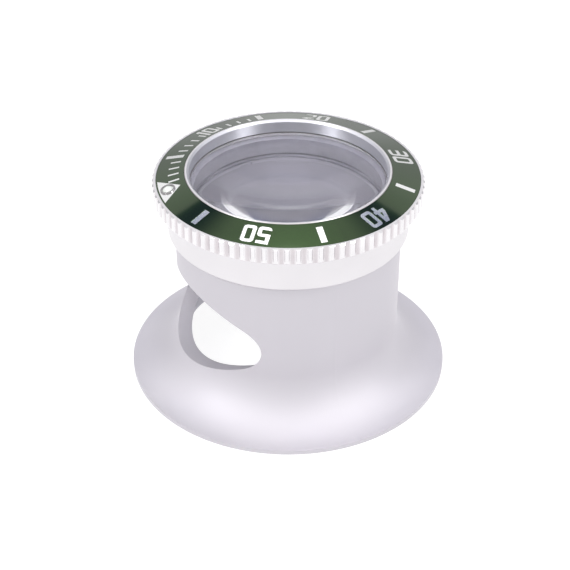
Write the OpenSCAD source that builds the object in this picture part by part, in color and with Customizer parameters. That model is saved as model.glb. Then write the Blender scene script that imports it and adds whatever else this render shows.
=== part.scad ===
// Standing loupe with a turning bezel.
// Millimetres, +Z up. The origin is the centre of the foot, which stands on z = 0.
// The side window faces -Y, and the bezel turns about the Z axis.

/* [Eyecup] */
// Outside diameter of the foot
foot_d = 48.1; // [47.6:0.1:48.3]
// Height of the thin upright edge round the foot
foot_edge = 0.6; // [0.4:0.1:0.9]
// Inside diameter of the foot, at the table
mouth_d = 43; // [40:0.5:44]
// Outside diameter of the straight neck
neck_d = 33.2; // [33.1:0.1:33.6]
// Height of the neck's top end, which the barrel sits on
neck_top = 24; // [23.5:0.1:26]
// Wall thickness of the neck
neck_wall = 2.1; // [1.8:0.1:2.4]
// Radius of the outer curve between neck and foot
flare_r = 7.6; // [7.5:0.1:9]
// Radius of the inner curve between bore and mouth
inner_flare_r = 8.2; // [7.9:0.1:9]

/* [Window] */
// Width of the oval side window
window_w = 26.4; // [22:0.2:27]
// Height of the oval side window
window_h = 13.1; // [10:0.1:14]
// Height of the window's centre above the table
window_z = 12; // [11:0.1:13]
// Radius of the window's two rounded ends
window_end_r = 4.1; // [3.4:0.1:4.6]

/* [Barrel] */
// Outside diameter of the smooth band
band_d = 35.3; // [35.1:0.1:36.5]
// Height of the smooth band
band_h = 5.05; // [4.8:0.05:5.2]
// Radius of the band's lower edge
band_round = 0.3; // [0.1:0.05:0.5]
// Diameter of the journal that the bezel turns on
journal_d = 33.7; // [33.6:0.1:33.8]
// Diameter of the threaded spigot in the neck
spigot_d = 31; // [30.8:0.1:31.2]
// Length of the threaded spigot
spigot_len = 3.4; // [3.35:0.05:4]
// Inside diameter of the lip that holds the upper lens by its stepped edge
lens_lip_d = 28.4; // [28:0.1:28.5]
// Thickness of that lip
lens_lip_t = 0.4; // [0.35:0.05:0.6]

/* [Lenses] */
// Diameter of both lenses
lens_d = 29.2; // [29:0.1:29.4]
// Thickness of a lens at its edge
lens_edge = 1.2; // [1:0.05:1.25]
// Radius of the upper lens's lower face, its upper face being flat
upper_curve_r = 45; // [44:1:80]
// Radius of both faces of the lower lens
lower_curve_r = 60; // [56:1:90]
// Length of the spacer between the lenses
spacer_len = 4.8; // [4.7:0.05:4.85]
// Free diameter inside the spacer
clear_d = 27.2; // [26.8:0.1:27.4]
// Thickness of the threaded retaining ring
retainer_t = 1.6; // [1.2:0.1:1.6]
// Inside diameter of the retaining ring
retainer_id = 26.4; // [25:0.1:26.6]
// Width of the two spanner slots in the retaining ring
spanner_slot = 1.6; // [1:0.1:2.4]

/* [Bezel] */
// Outside diameter over the coin edge
bezel_d = 39.2; // [39.1:0.1:40]
// Number of teeth round the coin edge
teeth = 80; // [60:1:90]
// Radius of the hollow between two teeth
tooth_hollow_r = 0.62; // [0.5:0.02:0.7]
// Depth of the hollow between two teeth
tooth_depth = 0.3; // [0.15:0.05:0.35]
// Height of the coin edge
bezel_h = 2.45; // [2.4:0.05:2.8]
// How far the bezel's inner edge reaches down past its underside
skirt_drop = 0.35; // [0.3:0.05:0.4]
// Gap between barrel band and bezel, filled by the friction washer
bezel_gap = 0.5; // [0.4:0.05:0.6]
// Thickness of the bezel under the insert
bezel_web = 0.8; // [0.7:0.05:0.85]
// Inside diameter of the bright lip round the glass
bright_lip_d = 28.6; // [28.4:0.1:28.7]
// Wall thickness of the bright lip
bright_lip_t = 0.6; // [0.5:0.05:0.6]
// Height of the bright lip above the insert
bright_lip_h = 0.1; // [0.06:0.02:0.3]
// Size of the bevel on the lip's inner edge
bright_bevel = 0.3; // [0.1:0.05:0.4]

/* [Insert] */
// Outside diameter of the insert
insert_od = 38; // [37.8:0.1:38]
// Inside diameter of the insert
insert_id = 29.9; // [29.9:0.1:30.2]
// Slope of the insert in degrees
insert_slope = 15.2; // [13:0.2:17]
// Thickness of the insert
insert_t = 0.8; // [0.6:0.05:0.85]
// Thickness of the adhesive under the insert
glue_t = 0.1; // [0.05:0.01:0.12]

/* [Marks] */
// Angle from the window to the zero mark, anticlockwise from above
zero_turn = -8.7; // [-180:0.1:180]
// Depth of the engraved marks
mark_depth = 0.25; // [0.15:0.01:0.4]
// How far the fill lies below the insert's face
fill_sink = 0.02; // [0.01:0.01:0.08]
// Height of a digit, measured along the radius
digit_h = 2.95; // [2.6:0.05:3.1]
// Width of a digit
digit_w = 1.85; // [1.6:0.05:2]
// Width of the zero in 10, which stands between two ticks
ten_zero_w = 1.65; // [1.5:0.05:1.65]
// Stroke width of a digit
digit_stroke = 0.54; // [0.4:0.02:0.56]
// Space between the two digits of a numeral
digit_space = 0.25; // [0.15:0.05:0.25]
// Width of a five-minute bar
bar_w = 0.9; // [0.8:0.05:1.4]
// Width of a minute tick
tick_w = 0.45; // [0.3:0.05:0.45]
// Width of the zero triangle at its base
triangle_w = 6.4; // [6.3:0.1:7]
// Diameter of the pearl
pearl_d = 1.7; // [1.4:0.05:1.75]

/* [Hidden] */
$fn = 96;
lens_fn = 256;
small_fn = 32;
tiny = 0.01;

// eyecup
foot_r = foot_d / 2;
mouth_r = mouth_d / 2;
neck_r = neck_d / 2;
bore_r = neck_r - neck_wall;
flare_z = foot_edge + sqrt(pow(flare_r, 2) - pow(foot_r - neck_r - flare_r, 2));
inner_flare_z = sqrt(pow(inner_flare_r, 2) - pow(mouth_r - bore_r - inner_flare_r, 2));

// window: two flank arcs joined by two end arcs
window_a = window_w / 2;
window_b = window_h / 2;
end_x = window_a - window_end_r;
flank_r = (pow(end_x, 2) + pow(window_b, 2) - pow(window_end_r, 2)) / (2 * (window_b - window_end_r));
join_x = end_x * flank_r / (flank_r - window_end_r);

// bezel and insert heights
band_r = band_d / 2;
band_top = neck_top + band_h;
bezel_r = bezel_d / 2;
bezel_z = band_top + bezel_gap;
bezel_top = bezel_z + bezel_h;
insert_r = insert_od / 2;
insert_ir = insert_id / 2;
insert_edge_z = bezel_top - 0.03;
channel_r = insert_r + 0.05;
lip_ir = bright_lip_d / 2;
lip_or = lip_ir + bright_lip_t;
lip_edge = 0.08;
run_gap = 0.3;
skirt_gap = 0.1;

// turning fit and wire spring
journal_r = journal_d / 2;
bezel_bore_r = journal_r + 0.05;
wire_d = 0.4;
wire_r = journal_r - 0.05;
wire_z = bezel_z + 0.53;
wire_gap_angle = 24;

// lens stack, from the top down
lens_r = lens_d / 2;
lens_bore_r = lens_r + 0.05;
lens_lip_r = lens_lip_d / 2;
clear_r = clear_d / 2;
spigot_r = spigot_d / 2;
spigot_z = neck_top - spigot_len;
oring_d = 0.8;
oring_r = lens_r - 0.7;

// marks
zero_angle = zero_turn - 90;
one_w = 0.75;
digit_corner = 0.5;
digit_inner_corner = 0.12;
bowl_h = 1.75;
digit_r = insert_ir + 0.57;
bar_r = insert_ir + 0.75;
bar_len = insert_r - bar_r - 0.54;
tick_len = 1.55;
triangle_r = insert_r - 0.2;
triangle_tip_r = insert_ir + 0.8;
setting_r = pearl_d / 2 + 0.25;
pearl_r = triangle_r - setting_r - 0.1;
tens = [10, 20, 30, 40, 50];

// height of the insert's top face at radius r
function insert_z(r) = insert_edge_z + (insert_r - r) * tan(insert_slope);
// height of the channel floor in the bezel at radius r
function floor_z(r) = insert_z(r) - insert_t - glue_t;
// height of the bezel's underside at radius r
function under_z(r) = floor_z(r) - bezel_web;
// height of the barrel's top face at radius r
function barrel_z(r) = under_z(r) - run_gap;
// depth of a spherical face of radius c out to radius r
function sag(c, r) = c - sqrt(c * c - r * r);

lip_top = insert_z(insert_ir) + bright_lip_h;
skirt_z = under_z(lip_ir) - skirt_drop;
step_r = lip_or + run_gap;
step_z = skirt_z - skirt_gap;
lens_seat_z = step_z - lens_lip_t;
upper_lens_z = lens_seat_z - lens_edge;
spacer_z = upper_lens_z - spacer_len;
lower_lens_z = spacer_z - lens_edge;
oring_z = lower_lens_z - 0.2 - oring_d / 2;
retainer_z = oring_z - oring_d / 2 - retainer_t;

// ---------- helpers ----------

// solid of revolution between two radii, with the given top and bottom heights at each
module cone_band(r_in, r_out, top, bottom) {
  rotate_extrude()
    polygon([
      [r_in, insert_z(r_in) - bottom],
      [r_out, insert_z(r_out) - bottom],
      [r_out, insert_z(r_out) - top],
      [r_in, insert_z(r_in) - top]
    ]);
}

// square ring section from r_in to r_out
module ring(r_in, r_out, z, h) {
  rotate_extrude()
    translate([r_in, z])
      square([r_out - r_in, h]);
}

// places a flat mark on the dial: +Y points outward and +X clockwise from above
module at_minute(m) {
  rotate(zero_angle - 6 * m - 90)
    children();
}

// turns a flat outline into the fill of its engraving
module fill() {
  intersection() {
    linear_extrude(height = lip_top + 1)
      children();
    cone_band(insert_ir, insert_r, fill_sink, mark_depth);
  }
}

// local frame of the pearl, with +Z square to the insert's face
module at_pearl() {
  rotate(zero_angle)
    translate([pearl_r, 0, insert_z(pearl_r)])
      rotate([0, insert_slope, 0])
        children();
}

// hole for the pearl's setting, through triangle and insert
module pearl_hole() {
  at_pearl()
    translate([0, 0, -2])
      cylinder(r = setting_r, h = 4, $fn = small_fn);
}

// ---------- outlines of the marks ----------

module rounded_box(w, h, r) {
  translate([r, 0])
    square([w - 2 * r, h]);
  translate([0, r])
    square([w, h - 2 * r]);
  for (x = [r, w - r])
    for (y = [r, h - r])
      translate([x, y])
        circle(r = r, $fn = small_fn);
}

// closed loop of stroke width with rounded corners
module loop(w, h) {
  difference() {
    rounded_box(w, h, digit_corner);
    translate([digit_stroke, digit_stroke])
      rounded_box(w - 2 * digit_stroke, h - 2 * digit_stroke, digit_inner_corner);
  }
}

// loop that is open on its left side, between its lower and upper bars
module open_loop(h) {
  difference() {
    loop(digit_w, h);
    translate([-tiny, digit_stroke])
      square([digit_stroke + digit_inner_corner + 2 * tiny, h - 2 * digit_stroke]);
  }
}

module digit_0(w) {
  loop(w, digit_h);
}

module digit_1() {
  x = one_w - digit_stroke;
  polygon([
    [x, 0],
    [one_w, 0],
    [one_w, digit_h],
    [x, digit_h],
    [0, digit_h - 0.7 * digit_stroke],
    [0, digit_h - 1.5 * digit_stroke],
    [x, digit_h - 1.1 * digit_stroke]
  ]);
}

module digit_2() {
  y = digit_h - bowl_h + digit_stroke;
  intersection() {
    translate([0, digit_h - bowl_h])
      open_loop(bowl_h);
    translate([0, y])
      square([digit_w, digit_h]);
  }
  polygon([
    [0, 0],
    [digit_w, 0],
    [digit_w, digit_stroke],
    [1.4 * digit_stroke, digit_stroke],
    [digit_w, y],
    [digit_w - digit_stroke, y],
    [0, digit_stroke]
  ]);
}

module digit_3() {
  open_loop(bowl_h);
  translate([0, bowl_h - digit_stroke])
    open_loop(digit_h - bowl_h + digit_stroke);
}

module digit_4() {
  x = digit_w - 0.5 * digit_stroke;
  y = 0.24 * digit_h;
  difference() {
    polygon([
      [0, y],
      [x - digit_stroke, y],
      [x - digit_stroke, 0],
      [x, 0],
      [x, y],
      [digit_w, y],
      [digit_w, y + digit_stroke],
      [x, y + digit_stroke],
      [x, digit_h],
      [x - 1.3 * digit_stroke, digit_h],
      [0, y + digit_stroke]
    ]);
    polygon([
      [x - digit_stroke, y + digit_stroke],
      [x - digit_stroke, digit_h - 1.7 * digit_stroke],
      [1.15 * digit_stroke, y + digit_stroke]
    ]);
  }
}

module digit_5() {
  open_loop(bowl_h);
  translate([0, bowl_h - digit_stroke])
    square([digit_w - digit_corner, digit_stroke]);
  translate([0, bowl_h - digit_stroke])
    square([digit_stroke, digit_h - bowl_h + digit_stroke]);
  translate([0, digit_h - digit_stroke])
    square([digit_w - 0.1, digit_stroke]);
}

module tens_digit(n) {
  if (n == 1) digit_1();
  if (n == 2) digit_2();
  if (n == 3) digit_3();
  if (n == 4) digit_4();
  if (n == 5) digit_5();
}

module numeral_outline(n) {
  left_w = n == 10 ? one_w : digit_w;
  zero_w = n == 10 ? ten_zero_w : digit_w;
  at_minute(n)
    translate([-(left_w + digit_space + zero_w) / 2, digit_r]) {
      tens_digit(n / 10);
      translate([left_w + digit_space, 0])
        digit_0(zero_w);
    }
}

module bars_outline() {
  for (m = [5:10:55])
    at_minute(m)
      translate([-bar_w / 2, bar_r])
        square([bar_w, bar_len]);
}

module ticks_outline() {
  for (m = [1:14])
    if (m % 5 != 0)
      at_minute(m)
        translate([-tick_w / 2, bar_r])
          square([tick_w, tick_len]);
}

module triangle_outline() {
  at_minute(0)
    intersection() {
      polygon([
        [0, triangle_tip_r],
        [triangle_w / 2, triangle_r],
        [-triangle_w / 2, triangle_r]
      ]);
      circle(r = triangle_r);
    }
}

module all_outlines() {
  triangle_outline();
  bars_outline();
  ticks_outline();
  for (n = tens)
    numeral_outline(n);
}

// ---------- fixed parts ----------

module window_outline() {
  intersection() {
    translate([0, window_b - flank_r])
      circle(r = flank_r, $fn = lens_fn);
    translate([0, flank_r - window_b])
      circle(r = flank_r, $fn = lens_fn);
    translate([-join_x, -window_b])
      square([2 * join_x, window_h]);
  }
  for (side = [-1, 1])
    translate([side * end_x, 0])
      circle(r = window_end_r);
}

module eyecup_outside() {
  square([neck_r, neck_top]);
  difference() {
    square([foot_r, flare_z]);
    translate([neck_r + flare_r, flare_z])
      circle(r = flare_r);
  }
}

module eyecup_inside() {
  translate([0, -1])
    square([bore_r, neck_top + 2]);
  translate([0, spigot_z - 0.2])
    square([spigot_r + 0.02, spigot_len + 1]);
  difference() {
    translate([0, -tiny])
      square([mouth_r, inner_flare_z]);
    translate([bore_r + inner_flare_r, inner_flare_z])
      circle(r = inner_flare_r);
  }
}

module eyecup_shell() {
  color("silver")
    difference() {
      rotate_extrude()
        difference() {
          eyecup_outside();
          eyecup_inside();
        }
      translate([0, 0, window_z])
        rotate([90, 0, 0])
          linear_extrude(height = foot_r)
            window_outline();
    }
}

module lens_barrel() {
  color("gainsboro")
    rotate_extrude()
      difference() {
        union() {
          translate([lens_bore_r, spigot_z])
            square([spigot_r - lens_bore_r, spigot_len]);
          translate([lens_bore_r, neck_top])
            square([band_r - band_round - lens_bore_r, band_h]);
          translate([lens_bore_r, neck_top + band_round])
            square([band_r - lens_bore_r, band_h - band_round]);
          translate([band_r - band_round, neck_top + band_round])
            circle(r = band_round, $fn = small_fn);
          polygon([
            [lens_bore_r, band_top],
            [journal_r, band_top],
            [journal_r, barrel_z(journal_r)],
            [step_r, barrel_z(step_r)],
            [step_r, step_z],
            [lens_lip_r, step_z],
            [lens_lip_r, lens_seat_z],
            [lens_bore_r, lens_seat_z]
          ]);
        }
        translate([wire_r - 0.3, wire_z - 0.23])
          square([1, 0.46]);
      }
}

// half section below a spherical face of radius c that meets the lens's edge at height z
module lens_cap(c, z) {
  intersection() {
    translate([0, z + sag(c, lens_r) - c])
      circle(r = c, $fn = lens_fn);
    translate([0, -lens_r])
      square([lens_r, 2 * lens_r]);
  }
}

module upper_lens() {
  color("lightcyan")
    translate([0, 0, lens_seat_z])
      mirror([0, 0, 1])
        rotate_extrude() {
          intersection() {
            lens_cap(upper_curve_r, lens_edge);
            square([lens_r, lens_r]);
          }
          // raised face that stands inside the barrel's lip
          translate([0, tiny - lens_lip_t])
            square([lens_lip_r - 0.05, lens_lip_t]);
        }
}

module lower_lens() {
  color("lightcyan")
    translate([0, 0, lower_lens_z + lens_edge / 2])
      rotate_extrude()
        intersection() {
          lens_cap(lower_curve_r, lens_edge / 2);
          mirror([0, 1])
            lens_cap(lower_curve_r, lens_edge / 2);
        }
}

module lens_spacer() {
  top_bevel = sag(upper_curve_r, lens_r) - sag(upper_curve_r, clear_r) + 0.06;
  low_bevel = sag(lower_curve_r, lens_r) - sag(lower_curve_r, clear_r) + 0.06;
  color("darkgray")
    translate([0, 0, spacer_z])
      rotate_extrude()
        polygon([
          [clear_r, low_bevel],
          [lens_r, 0],
          [lens_r, spacer_len],
          [clear_r, spacer_len - top_bevel]
        ]);
}

module lens_o_ring() {
  color("darkgray")
    rotate_extrude()
      translate([oring_r, oring_z])
        circle(r = oring_d / 2, $fn = small_fn);
}

module lens_retaining_ring() {
  color("darkgray")
    difference() {
      ring(retainer_id / 2, lens_r, retainer_z, retainer_t);
      translate([-lens_r, -spanner_slot / 2, retainer_z - tiny])
        cube([2 * lens_r, spanner_slot, retainer_t / 2]);
    }
}

module bezel_wire_spring() {
  color("lightsteelblue")
    rotate([0, 0, wire_gap_angle / 2])
      rotate_extrude(angle = 360 - wire_gap_angle)
        translate([wire_r, wire_z])
          circle(r = wire_d / 2, $fn = small_fn);
}

module bezel_friction_washer() {
  color("ivory")
    ring(journal_r + 0.05, band_r - 0.1, band_top, bezel_gap - 0.02);
}

// ---------- turning parts ----------

module bezel_section() {
  edge = 0.2;
  difference() {
    polygon([
      [bezel_bore_r, bezel_z],
      [bezel_r - edge, bezel_z],
      [bezel_r, bezel_z + edge],
      [bezel_r, bezel_top - edge],
      [bezel_r - edge, bezel_top],
      [channel_r, bezel_top],
      [channel_r, floor_z(channel_r)],
      [lip_or, floor_z(lip_or)],
      [lip_or, lip_top - lip_edge],
      [lip_or - lip_edge, lip_top],
      [lip_ir + bright_bevel, lip_top],
      [lip_ir, lip_top - bright_bevel],
      [lip_ir, skirt_z],
      [lip_or, skirt_z],
      [lip_or, under_z(lip_or)],
      [bezel_bore_r, under_z(bezel_bore_r)]
    ]);
    translate([bezel_bore_r - 1, wire_z - 0.26])
      square([1.4, 0.52]);
  }
}

module bezel_ring() {
  color("whitesmoke")
    difference() {
      rotate_extrude()
        bezel_section();
      for (i = [0:teeth - 1])
        rotate(zero_angle + 360 * i / teeth)
          translate([bezel_r + tooth_hollow_r - tooth_depth, 0, bezel_z - 1])
            cylinder(r = tooth_hollow_r, h = bezel_h + 2, $fn = 24);
    }
}

module insert_adhesive() {
  color("khaki")
    cone_band(insert_ir + 0.3, insert_r - 0.3, insert_t, insert_t + glue_t);
}

module bezel_insert() {
  color("darkgreen")
    difference() {
      cone_band(insert_ir, insert_r, 0, insert_t);
      intersection() {
        linear_extrude(height = lip_top + 1)
          all_outlines();
        cone_band(insert_ir - 1, insert_r + 1, -1, mark_depth);
      }
      pearl_hole();
    }
}

module zero_triangle() {
  color("white")
    difference() {
      fill()
        triangle_outline();
      pearl_hole();
    }
}

module five_minute_bars() {
  color("white")
    fill()
      bars_outline();
}

module minute_ticks() {
  color("white")
    fill()
      ticks_outline();
}

module numeral(n) {
  color("white")
    fill()
      numeral_outline(n);
}

module pearl_setting() {
  color("silver")
    at_pearl()
      difference() {
        translate([0, 0, -0.7])
          cylinder(r = setting_r - 0.02, h = 0.84, $fn = small_fn);
        translate([0, 0, -0.55])
          cylinder(r = pearl_d / 2, h = 1, $fn = small_fn);
      }
}

module pearl() {
  dome_r = 1.1;
  color("honeydew")
    at_pearl()
      intersection() {
        translate([0, 0, -0.55])
          cylinder(r = pearl_d / 2, h = 1, $fn = small_fn);
        translate([0, 0, 0.38 - dome_r])
          sphere(r = dome_r);
      }
}

eyecup_shell();
lens_barrel();
upper_lens();
lens_spacer();
lower_lens();
lens_o_ring();
lens_retaining_ring();
bezel_wire_spring();
bezel_friction_washer();
bezel_ring();
insert_adhesive();
bezel_insert();
zero_triangle();
five_minute_bars();
minute_ticks();
for (n = tens)
  numeral(n);
pearl_setting();
pearl();
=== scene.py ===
import math

import bpy
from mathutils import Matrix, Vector


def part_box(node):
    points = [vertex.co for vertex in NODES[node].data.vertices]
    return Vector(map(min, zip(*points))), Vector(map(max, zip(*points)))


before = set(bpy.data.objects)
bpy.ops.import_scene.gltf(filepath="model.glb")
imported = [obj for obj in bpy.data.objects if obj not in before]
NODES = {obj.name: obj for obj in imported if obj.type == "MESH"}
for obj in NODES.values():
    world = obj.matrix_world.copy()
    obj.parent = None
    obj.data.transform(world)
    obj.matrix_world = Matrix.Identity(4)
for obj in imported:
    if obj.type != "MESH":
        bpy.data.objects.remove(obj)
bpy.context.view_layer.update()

MM = 0.001

# The side window faces -Y. The camera stands this far round from it, about +Z.
WINDOW_HEADING = -90
CAMERA_FROM_WINDOW = 66
CAMERA_TURN = math.radians(WINDOW_HEADING + CAMERA_FROM_WINDOW)

# Edges that bend by more than this are shaded as creases.
CREASE_ANGLE = math.radians(32)
WHITE = (1, 1, 1)


# ---------- small node helpers ----------

def cleared_tree(owner):
    owner.use_nodes = True
    owner.node_tree.nodes.clear()
    return owner.node_tree


def new_material(name):
    material = bpy.data.materials.new(name)
    tree = cleared_tree(material)
    output = tree.nodes.new("ShaderNodeOutputMaterial")
    shader = tree.nodes.new("ShaderNodeBsdfPrincipled")
    tree.links.new(shader.outputs["BSDF"], output.inputs["Surface"])
    return material, tree, shader


def texture_coords(tree, kind):
    return tree.nodes.new("ShaderNodeTexCoord").outputs[kind]


def object_vector(tree, scale=(1, 1, 1)):
    mapping = tree.nodes.new("ShaderNodeMapping")
    mapping.inputs["Scale"].default_value = scale
    tree.links.new(texture_coords(tree, "Object"), mapping.inputs["Vector"])
    return mapping.outputs["Vector"]


def noise(tree, vector, scale, detail=2.0, rough=0.5):
    node = tree.nodes.new("ShaderNodeTexNoise")
    node.inputs["Scale"].default_value = scale
    node.inputs["Detail"].default_value = detail
    node.inputs["Roughness"].default_value = rough
    tree.links.new(vector, node.inputs["Vector"])
    return node.outputs["Fac"]


def spread(tree, value, low, high, start=0.3, end=0.7):
    """low where the value is at start, high where it is at end. The defaults suit a noise."""
    node = tree.nodes.new("ShaderNodeMapRange")
    node.inputs["From Min"].default_value = start
    node.inputs["From Max"].default_value = end
    node.inputs["To Min"].default_value = low
    node.inputs["To Max"].default_value = high
    tree.links.new(value, node.inputs["Value"])
    return node.outputs["Result"]


def ramp(tree, value, stops):
    node = tree.nodes.new("ShaderNodeValToRGB")
    elements = node.color_ramp.elements
    elements[0].position, elements[0].color = stops[0][0], (*stops[0][1], 1)
    elements[1].position, elements[1].color = stops[-1][0], (*stops[-1][1], 1)
    for place, colour in stops[1:-1]:
        elements.new(place).color = (*colour, 1)
    tree.links.new(value, node.inputs["Fac"])
    return node.outputs["Color"]


def tint(tree, value, low, high):
    """A colour that follows a noise between two near shades."""
    return ramp(tree, value, [(0.3, low), (0.7, high)])


def bump(tree, shader, height, strength, distance):
    node = tree.nodes.new("ShaderNodeBump")
    node.inputs["Strength"].default_value = strength
    node.inputs["Distance"].default_value = distance
    tree.links.new(height, node.inputs["Height"])
    tree.links.new(node.outputs["Normal"], shader.inputs["Normal"])


def vector_math(tree, kind, first, second=None):
    """second is another socket, or a fixed vector."""
    node = tree.nodes.new("ShaderNodeVectorMath")
    node.operation = kind
    tree.links.new(first, node.inputs[0])
    if isinstance(second, tuple):
        node.inputs[1].default_value = second
    elif second is not None:
        tree.links.new(second, node.inputs[1])
    return [o for o in node.outputs if o.enabled][0]


def math_node(tree, kind, first, second=None):
    node = tree.nodes.new("ShaderNodeMath")
    node.operation = kind
    tree.links.new(first, node.inputs[0])
    if second is not None:
        tree.links.new(second, node.inputs[1])
    return node.outputs["Value"]


def mixed(tree, factor, first, second):
    """second is another socket, or a fixed colour."""
    node = tree.nodes.new("ShaderNodeMix")
    node.data_type = "RGBA"
    tree.links.new(factor, node.inputs["Factor"])
    low, high = [i for i in node.inputs if i.enabled and i.name in ("A", "B")]
    tree.links.new(first, low)
    if isinstance(second, tuple):
        high.default_value = (*second, 1)
    else:
        tree.links.new(second, high)
    return [o for o in node.outputs if o.enabled][0]


def flat_position(tree):
    return vector_math(tree, "MULTIPLY", texture_coords(tree, "Object"), (1, 1, 0))


def facing_out(tree):
    """1 on surfaces that face away from the turning axis, -1 on bores, 0 on flat faces."""
    outward = vector_math(tree, "NORMALIZE", flat_position(tree))
    return vector_math(tree, "DOT_PRODUCT", outward, texture_coords(tree, "Normal"))


def from_axis(tree):
    """Distance from the turning axis, in metres."""
    return vector_math(tree, "LENGTH", flat_position(tree))


# ---------- materials ----------

def blasted_metal(name, dark, light, rough, bore_shade=None):
    """Bead-blasted, anodised metal: fine grain, soft patches of gloss, and, if asked, a bore painted darker
    as painted shade.
    """
    material, tree, shader = new_material(name)
    shader.inputs["Metallic"].default_value = 1.0
    vector = object_vector(tree)
    patches = noise(tree, vector, 90, 3)
    grain = noise(tree, vector, 7000)
    colour = tint(tree, patches, dark, light)
    # Painted shade: faces turned towards the axis get darker colours.
    if bore_shade:
        inside = spread(tree, facing_out(tree), 1, 0, -0.55, -0.35)
        colour = mixed(tree, inside, colour, tint(tree, patches, *bore_shade))
    tree.links.new(colour, shader.inputs["Base Color"])
    tree.links.new(spread(tree, patches, rough - 0.04, rough + 0.04), shader.inputs["Roughness"])
    bump(tree, shader, grain, 0.25, 0.02 * MM)
    return material


def turned_metal(name, dark, light, rough):
    """Metal finished on a lathe: fine rings that follow the turning axis."""
    material, tree, shader = new_material(name)
    shader.inputs["Metallic"].default_value = 1.0
    lines = noise(tree, object_vector(tree, (60, 60, 16000)), 1.0, 3, 0.6)
    patches = noise(tree, object_vector(tree), 120)
    tree.links.new(tint(tree, patches, dark, light), shader.inputs["Base Color"])
    tree.links.new(spread(tree, lines, rough - 0.05, rough + 0.05), shader.inputs["Roughness"])
    bump(tree, shader, lines, 0.2, 0.01 * MM)
    return material


def polished_metal(name, dark, light, rough, bore_shade, hollow_shade, crest_r):
    """Polished steel: faint handling marks, a turned bore painted darker as painted shade, and duller hollows
    between the teeth's crests, also painted darker as painted shade.
    """
    bore_rough, hollow_rough = 0.44, 0.22
    material, tree, shader = new_material(name)
    shader.inputs["Metallic"].default_value = 1.0
    patches = noise(tree, object_vector(tree), 400, 4)
    marks = noise(tree, object_vector(tree, (900, 2600, 1700)), 1.0, 5, 0.7)
    out = facing_out(tree)
    inside = spread(tree, out, 1, 0, -0.8, -0.5)
    low = spread(tree, from_axis(tree), 1, 0, crest_r - 0.28 * MM, crest_r - 0.1 * MM)
    hollows = math_node(tree, "MULTIPLY", low, spread(tree, out, 0, 1, 0.4, 0.6))
    # Painted shade: the bore gets darker, bluer colours.
    colour = mixed(tree, inside, tint(tree, patches, dark, light), tint(tree, patches, *bore_shade))
    # Painted shade: the hollows between the teeth's crests get darker colours.
    colour = mixed(tree, hollows, colour, tint(tree, patches, *hollow_shade))
    tree.links.new(colour, shader.inputs["Base Color"])
    polish = spread(tree, marks, rough, rough + 0.08, 0.4, 0.75)
    dull = math_node(tree, "MAXIMUM", spread(tree, inside, 0, bore_rough, 0, 1),
                     spread(tree, hollows, 0, hollow_rough, 0, 1))
    tree.links.new(math_node(tree, "ADD", polish, dull), shader.inputs["Roughness"])
    # The bore's turning marks run round the axis, so its highlights stretch along it.
    tangent = tree.nodes.new("ShaderNodeTangent")
    tangent.direction_type = "RADIAL"
    tangent.axis = "Z"
    tree.links.new(tangent.outputs["Tangent"], shader.inputs["Tangent"])
    shader.inputs["Anisotropic Rotation"].default_value = 0.25
    tree.links.new(inside, shader.inputs["Anisotropic"])
    bump(tree, shader, marks, 0.04, 0.01 * MM)
    return material


def green_anodised(name):
    """Dyed anodised aluminium under its clear oxide, brushed round the dial."""
    streaks_round, streaks_per_metre, reach = 18, 30000, 20 * MM
    material, tree, shader = new_material(name)
    shader.inputs["Metallic"].default_value = 1.0
    shader.inputs["Coat Weight"].default_value = 0.8
    shader.inputs["Coat Roughness"].default_value = 0.05
    shader.inputs["Coat IOR"].default_value = 1.5
    place = texture_coords(tree, "Object")
    gradient = tree.nodes.new("ShaderNodeTexGradient")
    gradient.gradient_type = "RADIAL"
    tree.links.new(place, gradient.inputs["Vector"])
    brushed = tree.nodes.new("ShaderNodeCombineXYZ")
    tree.links.new(spread(tree, gradient.outputs["Fac"], 0, streaks_round, 0, 1), brushed.inputs["X"])
    radius = vector_math(tree, "LENGTH", place)
    tree.links.new(spread(tree, radius, 0, streaks_per_metre * reach, 0, reach), brushed.inputs["Y"])
    lines = noise(tree, brushed.outputs["Vector"], 1.0, 2, 0.6)
    patches = noise(tree, object_vector(tree), 160)
    colour = tint(tree, patches, (0.023, 0.056, 0.011), (0.028, 0.064, 0.014))
    tree.links.new(colour, shader.inputs["Base Color"])
    tree.links.new(spread(tree, lines, 0.1, 0.16), shader.inputs["Roughness"])
    bump(tree, shader, lines, 0.05, 0.01 * MM)
    return material


def lens_glass(name):
    """Coated lens glass, clear through its faces and ground matt round its edge."""
    edge_rough = 0.5
    material, tree, shader = new_material(name)
    steep = math_node(tree, "ABSOLUTE", facing_out(tree))
    edge = spread(tree, steep, 0, 1, 0.5, 0.8)
    tree.links.new(spread(tree, edge, 1, 0, 0, 1), shader.inputs["Transmission Weight"])
    tree.links.new(spread(tree, edge, 0, edge_rough, 0, 1), shader.inputs["Roughness"])
    shader.inputs["IOR"].default_value = 1.517
    shader.inputs["Specular Tint"].default_value = (0.25, 0.25, 0.32, 1)
    cloud = noise(tree, object_vector(tree), 60)
    tree.links.new(tint(tree, cloud, (0.955, 0.95, 0.975), (0.965, 0.96, 0.985)), shader.inputs["Base Color"])
    return material


def soft_plastic(name, dark, light, rough, scale=900):
    """Moulded or turned plastic, rubber or glue, with a faint cloud in colour and gloss."""
    material, tree, shader = new_material(name)
    cloud = noise(tree, object_vector(tree), scale, 3)
    tree.links.new(tint(tree, cloud, dark, light), shader.inputs["Base Color"])
    tree.links.new(spread(tree, cloud, rough - 0.05, rough + 0.05), shader.inputs["Roughness"])
    bump(tree, shader, cloud, 0.1, 0.01 * MM)
    return material


def outer_radius(name):
    low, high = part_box(name)
    return (high[0] - low[0]) / 2


# The eyecup's bore colours are darker than its outside: painted shade inside the eyecup.
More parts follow.
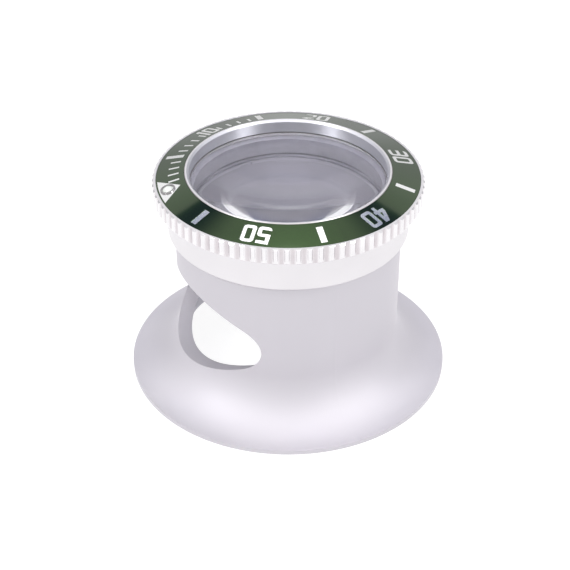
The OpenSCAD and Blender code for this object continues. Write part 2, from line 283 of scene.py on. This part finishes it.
SATIN = blasted_metal("satin_silver", (0.595, 0.576, 0.612), (0.625, 0.606, 0.638), 0.65,
                      bore_shade=((0.44, 0.43, 0.48), (0.48, 0.47, 0.52)))
BAND = turned_metal("band_silver", (0.70, 0.68, 0.70), (0.73, 0.71, 0.73), 0.34)
INNER = soft_plastic("inner_plastic", (0.46, 0.45, 0.51), (0.52, 0.51, 0.57), 0.4)
# The bezel's bore and the hollows between its teeth get darker colours: painted shade.
POLISHED = polished_metal("polished_metal", (0.76, 0.745, 0.76), (0.82, 0.805, 0.82), 0.12,
                          bore_shade=((0.62, 0.62, 0.68), (0.66, 0.66, 0.72)),
                          hollow_shade=((0.60, 0.56, 0.58), (0.66, 0.62, 0.64)),
                          crest_r=outer_radius("bezel_ring"))
GREEN = green_anodised("green_insert")
SILVER = blasted_metal("silver_marks", (0.92, 0.92, 0.91), (0.97, 0.97, 0.95), 0.2)
GLASS = lens_glass("glass")
SILICONE = soft_plastic("silicone", (0.60, 0.59, 0.64), (0.68, 0.67, 0.72), 0.45)
NYLON = soft_plastic("nylon", (0.72, 0.70, 0.64), (0.78, 0.76, 0.70), 0.5)
GLUE = soft_plastic("adhesive", (0.62, 0.57, 0.38), (0.70, 0.65, 0.46), 0.6)
WIRE = turned_metal("spring_wire", (0.55, 0.55, 0.56), (0.62, 0.62, 0.63), 0.3)
SETTING = blasted_metal("pearl_setting_metal", (0.36, 0.35, 0.35), (0.44, 0.43, 0.43), 0.25)
PEARL = soft_plastic("pearl", (0.50, 0.52, 0.50), (0.62, 0.64, 0.60), 0.18, 1500)

# Every node that isn't named here is a mark on the dial, in silver.
LOOKS = {
    "eyecup_shell": SATIN,
    "lens_barrel": BAND,
    "upper_lens": GLASS,
    "lower_lens": GLASS,
    "lens_spacer": INNER,
    "lens_retaining_ring": INNER,
    "lens_o_ring": SILICONE,
    "bezel_wire_spring": WIRE,
    "bezel_friction_washer": NYLON,
    "bezel_ring": POLISHED,
    "insert_adhesive": GLUE,
    "bezel_insert": GREEN,
    "pearl_setting": SETTING,
    "pearl": PEARL,
}

for name, node in NODES.items():
    node.data.materials.clear()
    node.data.materials.append(LOOKS.get(name, SILVER))
    node.data.shade_smooth()
    node.data.set_sharp_from_angle(angle=CREASE_ANGLE)


# ---------- studio ----------

FLOOR_HALF = 1.5
# Just under the foot, so that the two don't share a plane.
FLOOR_Z = -0.05 * MM
FLOOR_GLOW = 0.88
# Reflections see a floor that fades between these two distances.
FAR_FLOOR_GLOW = 0.45
FADE_START, FADE_END = 0.25, 0.5


def studio_floor():
    mesh = bpy.data.meshes.new("floor")
    half = FLOOR_HALF
    corners = [(-half, -half, 0), (half, -half, 0), (half, half, 0), (-half, half, 0)]
    mesh.from_pydata(corners, [], [(0, 1, 2, 3)])
    floor = bpy.data.objects.new("floor", mesh)
    bpy.context.collection.objects.link(floor)
    material, tree, shader = new_material("floor_white")
    shader.inputs["Roughness"].default_value = 0.9
    shader.inputs["Emission Color"].default_value = (*WHITE, 1)
    near = spread(tree, from_axis(tree), FLOOR_GLOW, FAR_FLOOR_GLOW, FADE_START, FADE_END)
    seen = tree.nodes.new("ShaderNodeLightPath").outputs["Is Camera Ray"]
    glow = math_node(tree, "MAXIMUM", near, spread(tree, seen, 0, FLOOR_GLOW, 0, 1))
    tree.links.new(glow, shader.inputs["Emission Strength"])
    shade = noise(tree, object_vector(tree), 8)
    tree.links.new(tint(tree, shade, (0.18, 0.18, 0.18), (0.2, 0.2, 0.2)), shader.inputs["Base Color"])
    mesh.materials.append(material)
    floor.location.z = FLOOR_Z


def studio_world():
    """Pale surroundings, plain white to the camera.

    Each ramp goes up from the horizon, by the height of the direction. Beyond the object, a dark gap
    stands between the backdrop and the lights above it.
    """
    horizon = (0.55, 0.55, 0.56)
    backdrop = (0.68, 0.68, 0.70)
    bright_backdrop = (0.97, 0.97, 0.99)
    gap = (0.14, 0.18, 0.32)
    wall = (0.9, 0.9, 0.92)
    high = (1.15, 1.15, 1.17)
    ceiling = (1.95, 1.95, 1.97)
    world = bpy.data.worlds.new("studio")
    bpy.context.scene.world = world
    tree = cleared_tree(world)
    output = tree.nodes.new("ShaderNodeOutputWorld")
    background = tree.nodes.new("ShaderNodeBackground")
    direction = texture_coords(tree, "Generated")
    split = tree.nodes.new("ShaderNodeSeparateXYZ")
    tree.links.new(direction, split.inputs["Vector"])
    far = ramp(tree, split.outputs["Z"], [
        (0.0, horizon), (0.1, backdrop), (0.3, backdrop), (0.5, bright_backdrop), (0.665, bright_backdrop),
        (0.68, gap), (0.76, gap), (0.83, bright_backdrop), (0.93, high), (0.99, ceiling)])
    near = ramp(tree, split.outputs["Z"], [(0.0, wall), (0.5, wall), (0.8, high), (0.99, ceiling)])
    away = vector_math(tree, "DOT_PRODUCT", direction, (-math.cos(CAMERA_TURN), -math.sin(CAMERA_TURN), 0))
    around = mixed(tree, spread(tree, away, 0, 1, 0.25, 0.4), near, far)
    seen = tree.nodes.new("ShaderNodeLightPath").outputs["Is Camera Ray"]
    tree.links.new(mixed(tree, seen, around, WHITE), background.inputs["Color"])
    tree.links.new(background.outputs["Background"], output.inputs["Surface"])


LIGHT_DISTANCE = 0.6
LIGHT_TARGET = Vector((0, 0, 0.02))
# name, degrees round from the camera, degrees up, width and height in metres, watts
LIGHTS = [
    ("softbox_left", -56, 38, (0.08, 0.3), 1.2),
    ("softbox_right", 56, 38, (0.08, 0.3), 1.2),
    ("overhead", 180, 80, (0.3, 0.3), 0.5),
    ("side_left", -115, 50, (0.25, 0.25), 0.2),
    ("side_right", 115, 50, (0.25, 0.25), 0.2),
]


def heading(turn, rise):
    """The direction at this turn about +Z and this rise, in radians."""
    return Vector((math.cos(turn) * math.cos(rise), math.sin(turn) * math.cos(rise), math.sin(rise)))


def aimed(thing, place, towards):
    """Puts a light or camera at a place, looking along a direction."""
    thing.location = place
    thing.rotation_mode = "QUATERNION"
    thing.rotation_quaternion = towards.to_track_quat("-Z", "Y")
    bpy.context.collection.objects.link(thing)


def area_light(name, turn, rise, size, power):
    data = bpy.data.lights.new(name, "AREA")
    data.shape = "RECTANGLE"
    data.size, data.size_y = size
    data.energy = power
    out = heading(CAMERA_TURN + math.radians(turn), math.radians(rise))
    aimed(bpy.data.objects.new(name, data), LIGHT_TARGET + out * LIGHT_DISTANCE, -out)


def camera():
    """A short telephoto that looks down at the loupe from the photo's side."""
    from_axis_m, height = 0.1773, 0.1365
    aim_off_axis, pitch = math.radians(0.13), math.radians(-34.94)
    shift = 0.00088
    data = bpy.data.cameras.new("camera")
    data.sensor_width = 36
    data.lens = 90.2
    data.shift_x, data.shift_y = -shift, shift
    data.clip_start, data.clip_end = 0.01, 10
    cam = bpy.data.objects.new("camera", data)
    place = heading(CAMERA_TURN, 0) * from_axis_m + Vector((0, 0, height))
    aimed(cam, place, heading(CAMERA_TURN + math.pi + aim_off_axis, pitch))
    bpy.context.scene.camera = cam


studio_floor()
studio_world()
for light in LIGHTS:
    area_light(*light)
camera()
bpy.context.scene.view_settings.view_transform = "Standard"
# A ray can be reflected five times inside the upper lens before it comes out.
bpy.context.scene.cycles.glossy_bounces = 12
